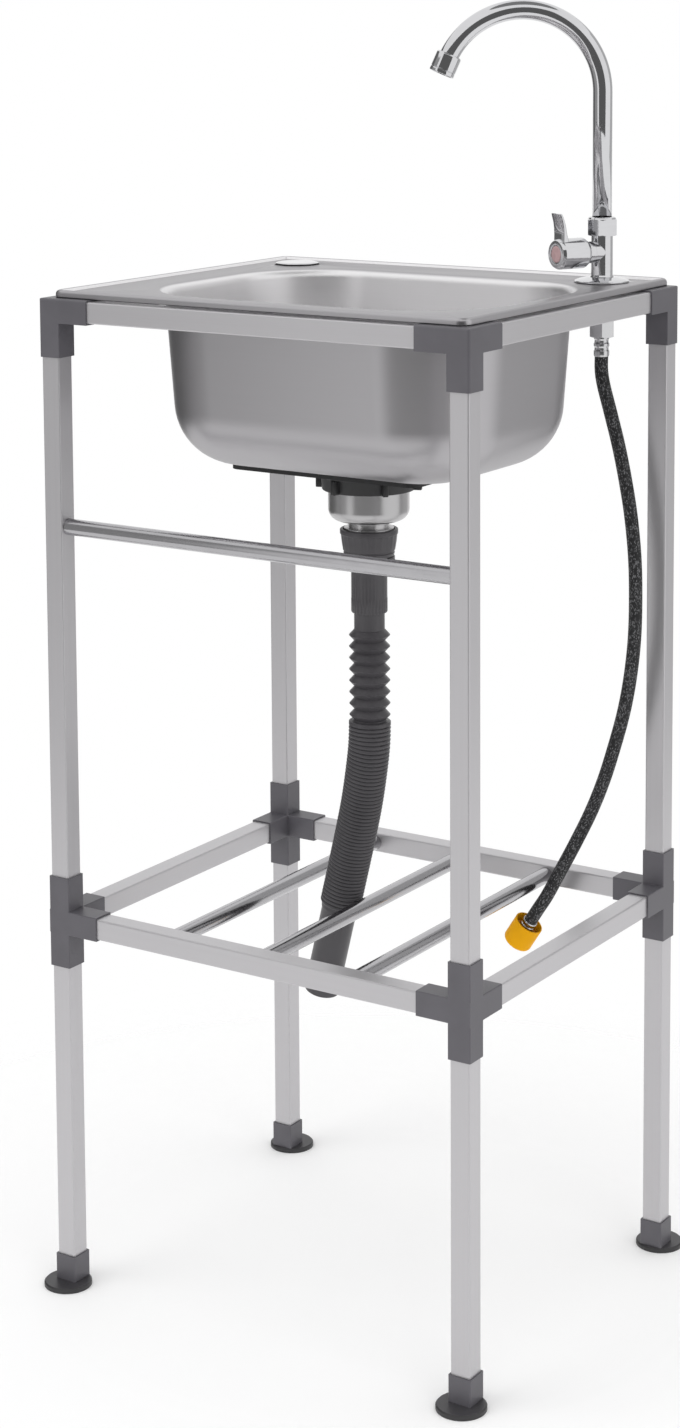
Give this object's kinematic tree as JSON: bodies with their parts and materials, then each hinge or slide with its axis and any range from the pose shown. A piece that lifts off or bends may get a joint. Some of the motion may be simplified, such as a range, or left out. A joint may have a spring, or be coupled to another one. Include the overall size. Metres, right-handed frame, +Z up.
{
  "type": "camp wash stand",
  "caption": "Portable wash stand: a knock-down frame of square steel tubes carries a pressed steel sink with a swivel tap, a basket drain, a ribbed drain hose and a supply hose.",
  "frame": {"origin": "on the ground, in the middle of the four feet", "axes": "+Z up, the front with the towel bar is -Y, the tap is at the back right, +X to the right"},
  "size_m": [0.468, 0.413, 1.1815],
  "materials": {
    "steel_tube": "satin",
    "socket_plastic": "satin",
    "rod_chrome": "polished",
    "sink_steel": "brushed",
    "tap_chrome": "polished",
    "drain_plastic": "satin",
    "rubber": "matte",
    "hose_braid": "braided",
    "ferrule_steel": "satin",
    "brass": "machined",
    "cap_yellow": "satin",
    "button_pink": "gloss"
  },
  "bodies": {
    "stand": {"leg_upper_front_left": "steel_tube", "leg_lower_front_left": "steel_tube", "top_corner_front_left": "socket_plastic", "shelf_corner_front_left": "socket_plastic", "foot_front_left": "socket_plastic", "leg_upper_front_right": "steel_tube", "leg_lower_front_right": "steel_tube", "top_corner_front_right": "socket_plastic", "shelf_corner_front_right": "socket_plastic", "foot_front_right": "socket_plastic", "leg_upper_back_left": "steel_tube", "leg_lower_back_left": "steel_tube", "top_corner_back_left": "socket_plastic", "shelf_corner_back_left": "socket_plastic", "foot_back_left": "socket_plastic", "leg_upper_back_right": "steel_tube", "leg_lower_back_right": "steel_tube", "top_corner_back_right": "socket_plastic", "shelf_corner_back_right": "socket_plastic", "foot_back_right": "socket_plastic", "top_rail_front": "steel_tube", "shelf_rail_front": "steel_tube", "top_rail_back": "steel_tube", "shelf_rail_back": "steel_tube", "top_rail_left": "steel_tube", "shelf_rail_left": "steel_tube", "top_rail_right": "steel_tube", "shelf_rail_right": "steel_tube", "shelf_rod_left": "rod_chrome", "shelf_rod_middle": "rod_chrome", "shelf_rod_right": "rod_chrome", "towel_bar": "rod_chrome", "sink_bowl": "sink_steel", "sound_pad": "rubber", "tap_hole_cover": "tap_chrome", "drain_cup": "sink_steel", "drain_gasket": "rubber", "drain_lock_nut": "drain_plastic", "coupling_nut": "drain_plastic", "hose_top_cuff": "drain_plastic", "drain_hose": "drain_plastic", "drain_tail": "drain_plastic", "tap_body": "tap_chrome", "tap_flange": "tap_chrome", "deck_nut": "ferrule_steel", "spout_nut": "tap_chrome", "tap_cartridge": "brass", "inlet_nut": "ferrule_steel", "inlet_ferrule": "ferrule_steel", "supply_hose": "hose_braid", "end_ferrule": "ferrule_steel"},
    "spout": {"spout": "tap_chrome", "aerator_housing": "tap_chrome", "aerator_screen": "drain_plastic"},
    "handle": {"tap_handle": "tap_chrome", "handle_button": "button_pink"},
    "basket": {"strainer_basket": "sink_steel", "basket_stopper": "rubber"},
    "end_nut": {"end_nut": "brass"},
    "cap": {"hose_cap": "cap_yellow"}
  },
  "joints": [
    {"name": "spout_swivel", "type": "hinge", "parent": "stand", "child": "spout", "pos_m": [0.168, 0.142, 0.9765], "axis": [0, 0, 1], "continuous": true},
    {"name": "handle_turn", "type": "hinge", "parent": "stand", "child": "handle", "pos_m": [0.168, 0.142, 0.9525], "axis": [-0.454, -0.891, 0], "range_deg": [0, 90]},
    {"name": "basket_lift", "type": "slide", "parent": "stand", "child": "basket", "axis": [0, 0, 1], "range_m": [0, 0.06]},
    {"name": "hose_nut_spin", "type": "hinge", "parent": "stand", "child": "end_nut", "pos_m": [0.095, 0.142, 0.3092], "axis": [-0.5408, 0, -0.8412], "continuous": true},
    {"name": "cap_pull", "type": "slide", "parent": "end_nut", "child": "cap", "axis": [-0.5408, 0, -0.8412], "range_m": [0, 0.03]}
  ]
}
